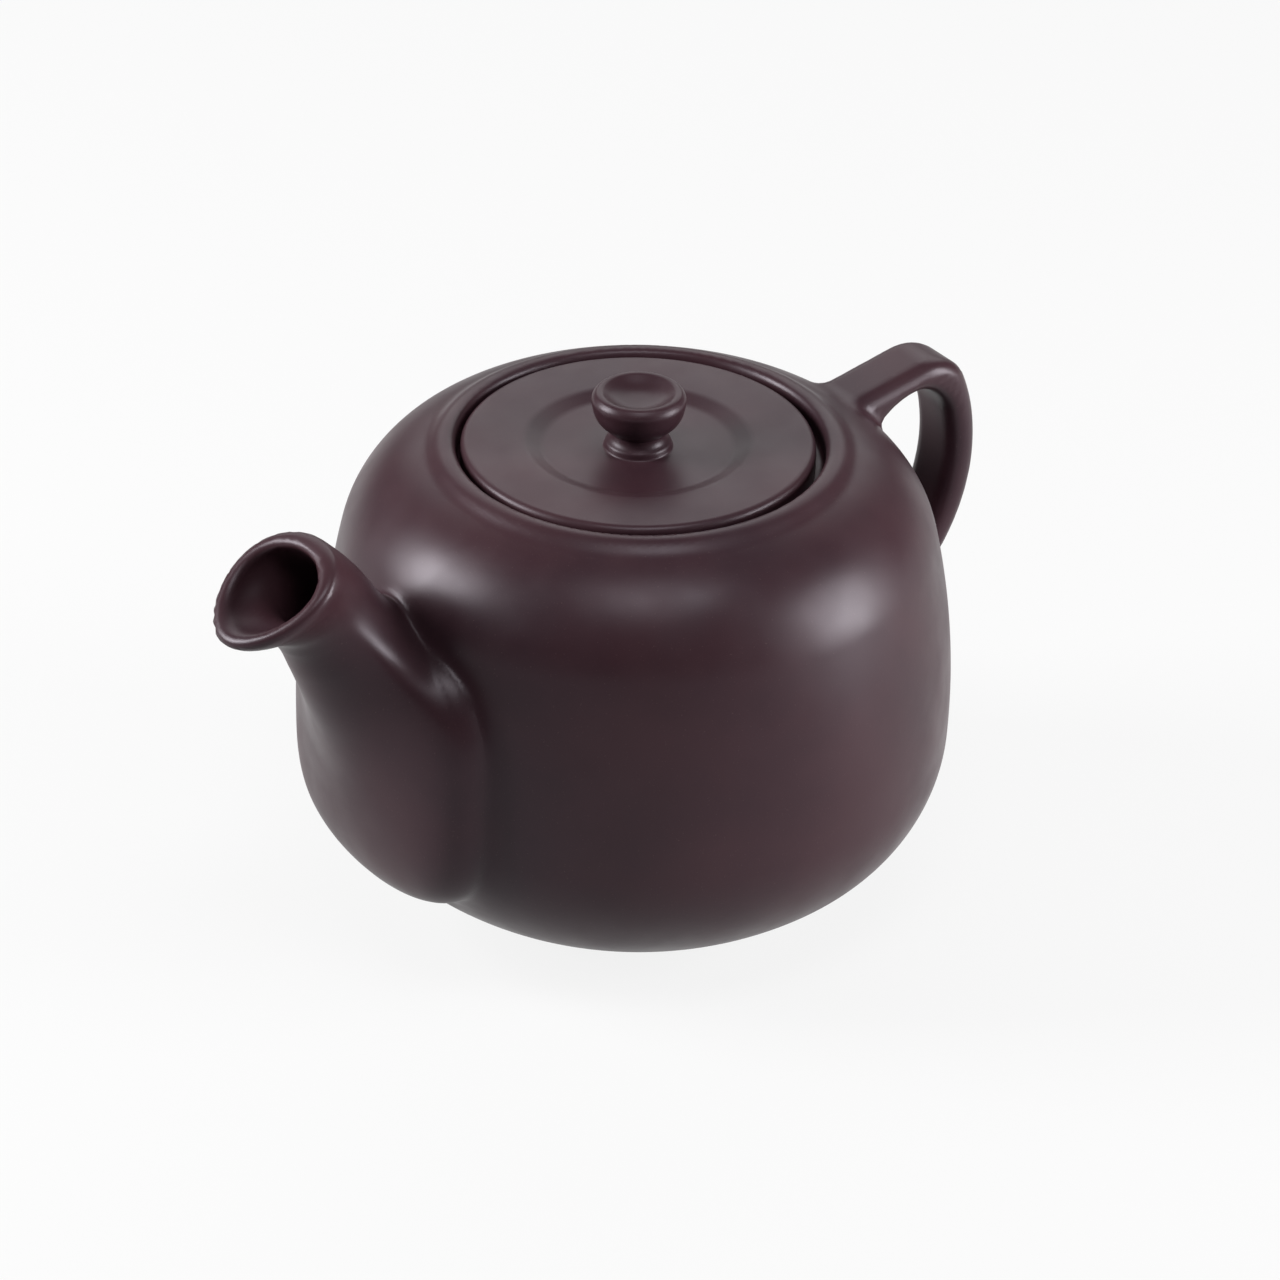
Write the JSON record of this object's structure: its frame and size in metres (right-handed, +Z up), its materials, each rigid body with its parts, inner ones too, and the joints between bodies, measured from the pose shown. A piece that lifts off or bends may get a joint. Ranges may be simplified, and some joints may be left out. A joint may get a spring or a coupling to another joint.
{
  "type": "clay teapot",
  "caption": "Round unglazed clay teapot with a short flared spout, an ear-shaped strap handle and a loose flat lid with a knob, for brewing and pouring tea.",
  "frame": {"origin": "centre of the foot ring, on the table plane", "axes": "+Z up along the axis of the pot, +X towards the spout, -X towards the handle"},
  "size_m": [0.1764, 0.125, 0.1078],
  "materials": {
    "clay": "smooth unglazed clay, matte to satin, dark purplish brown"
  },
  "bodies": {
    "pot": {"base_disc": "clay", "foot_ring": "clay", "lower_wall": "clay", "body_wall": "clay", "shoulder_disc": "clay", "mouth_collar": "clay", "seat_ring": "clay", "spout": "clay", "strainer_dome": "clay", "handle": "clay"},
    "lid": {"lid_plate": "clay", "lid_flange": "clay", "knob": "clay"}
  },
  "joints": [
    {"name": "lid_lift", "type": "slide", "parent": "pot", "child": "lid", "axis": [0, 0, 1], "range_m": [0, 0.07]}
  ]
}
